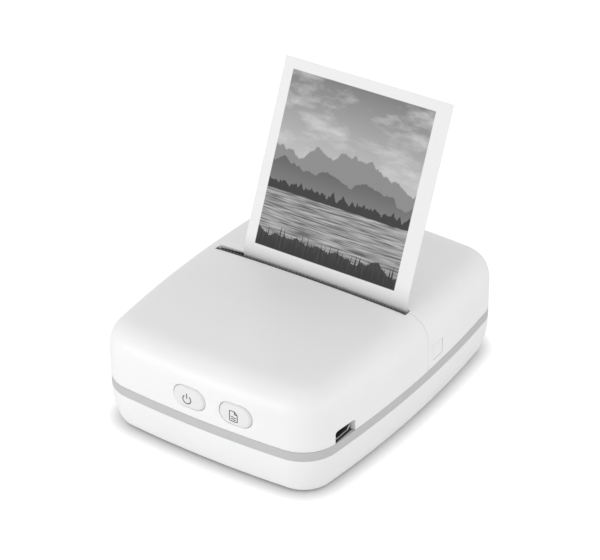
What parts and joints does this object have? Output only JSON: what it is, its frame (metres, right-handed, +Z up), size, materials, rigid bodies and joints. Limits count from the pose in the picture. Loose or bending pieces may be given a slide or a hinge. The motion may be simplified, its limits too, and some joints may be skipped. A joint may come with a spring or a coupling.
{
  "type": "compact photo printer",
  "caption": "Pillow-shaped pocket thermal photo printer with a hinged rear paper lid, tear bar, platen gear train, paper roll, two front buttons and a printed sheet standing in its slot.",
  "frame": {"origin": "on the table surface, below the middle of the body's width and depth", "axes": "+X to the right seen from the front, +Y from the button face to the hinge, +Z up"},
  "size_m": [0.082, 0.1056, 0.091],
  "materials": {
    "shell_plastic": "fine matte white",
    "button_plastic": "satin white",
    "band_plastic": "soft grey",
    "ivory_plastic": "natural acetal",
    "dark_plastic": "dark moulded",
    "circuit_board": "solder mask",
    "battery_wrap": "foil pouch",
    "ribbon_film": "amber film",
    "head_ceramic": "glazed",
    "steel": "rolled",
    "aluminium": "milled",
    "brass": "cut",
    "rubber": "matte",
    "paper": "coated thermal",
    "cardboard": "plain"
  },
  "bodies": {
    "base": {"bottom_shell": "shell_plastic", "trim_band": "band_plastic", "top_cover": "shell_plastic", "button_switches": "dark_plastic", "button_board": "circuit_board", "main_board": "circuit_board", "board_components": "dark_plastic", "ribbon_connector": "ivory_plastic", "usb_socket": "steel", "battery_pack": "battery_wrap", "print_frame": "steel", "head_springs": "steel", "head_ribbon": "ribbon_film", "tear_bar": "shell_plastic", "idler_pin": "steel", "stepper_motor": "steel", "motor_screws": "steel", "roll_bay": "dark_plastic", "paper_strip": "paper", "paper_sensor": "dark_plastic", "rubber_feet": "rubber", "case_screws": "steel", "board_screws": "steel", "frame_screws": "steel"},
    "lid": {"rear_lid": "shell_plastic", "lid_hinge_pins": "steel", "platen_bushings": "ivory_plastic"},
    "release": {"release_button": "button_plastic"},
    "power": {"power_button": "button_plastic"},
    "feed": {"feed_button": "button_plastic"},
    "head": {"head_heatsink": "aluminium", "print_head": "head_ceramic"},
    "platen": {"platen_roller": "rubber", "platen_shaft": "steel", "platen_gear": "ivory_plastic"},
    "idler": {"idler_gear": "ivory_plastic"},
    "rotor": {"motor_pinion": "brass", "motor_shaft": "steel"},
    "roll": {"paper_roll": "paper", "roll_core": "cardboard", "roll_spindle": "dark_plastic"}
  },
  "joints": [
    {"name": "lid_hinge", "type": "hinge", "parent": "base", "child": "lid", "pos_m": [0, 0.04875, 0.01965], "axis": [-1, 0, 0], "range_deg": [0, 90]},
    {"name": "release_press", "type": "slide", "parent": "lid", "child": "release", "axis": [-1, 0, 0], "range_m": [0, 0.0008], "stiffness_N_per_m": 1200},
    {"name": "power_press", "type": "slide", "parent": "base", "child": "power", "axis": [0, 1, 0], "range_m": [0, 0.0006], "stiffness_N_per_m": 1500},
    {"name": "feed_press", "type": "slide", "parent": "base", "child": "feed", "axis": [0, 1, 0], "range_m": [0, 0.0006], "stiffness_N_per_m": 1500},
    {"name": "head_pivot", "type": "hinge", "parent": "base", "child": "head", "pos_m": [0, 0.00222, 0.0216], "axis": [1, 0, 0], "range_deg": [0, 2], "stiffness_Nm_per_rad": 2},
    {"name": "platen_spin", "type": "hinge", "parent": "lid", "child": "platen", "pos_m": [0, 0.00918, 0.0255], "axis": [-1, 0, 0], "continuous": true},
    {"name": "idler_spin", "type": "hinge", "parent": "base", "child": "idler", "pos_m": [0, 0.00749, 0.01412], "axis": [-1, 0, 0], "continuous": true},
    {"name": "motor_spin", "type": "hinge", "parent": "base", "child": "rotor", "pos_m": [0, -0.00143, 0.01087], "axis": [-1, 0, 0], "continuous": true},
    {"name": "roll_spin", "type": "hinge", "parent": "base", "child": "roll", "pos_m": [0, 0.03145, 0.0166], "axis": [-1, 0, 0], "continuous": true}
  ],
  "couplings": [
    {"joint": "platen_spin", "follows": "roll_spin", "ratio": 2.5},
    {"joint": "idler_spin", "follows": "roll_spin", "ratio": -1.9231},
    {"joint": "motor_spin", "follows": "roll_spin", "ratio": 4.1667}
  ]
}
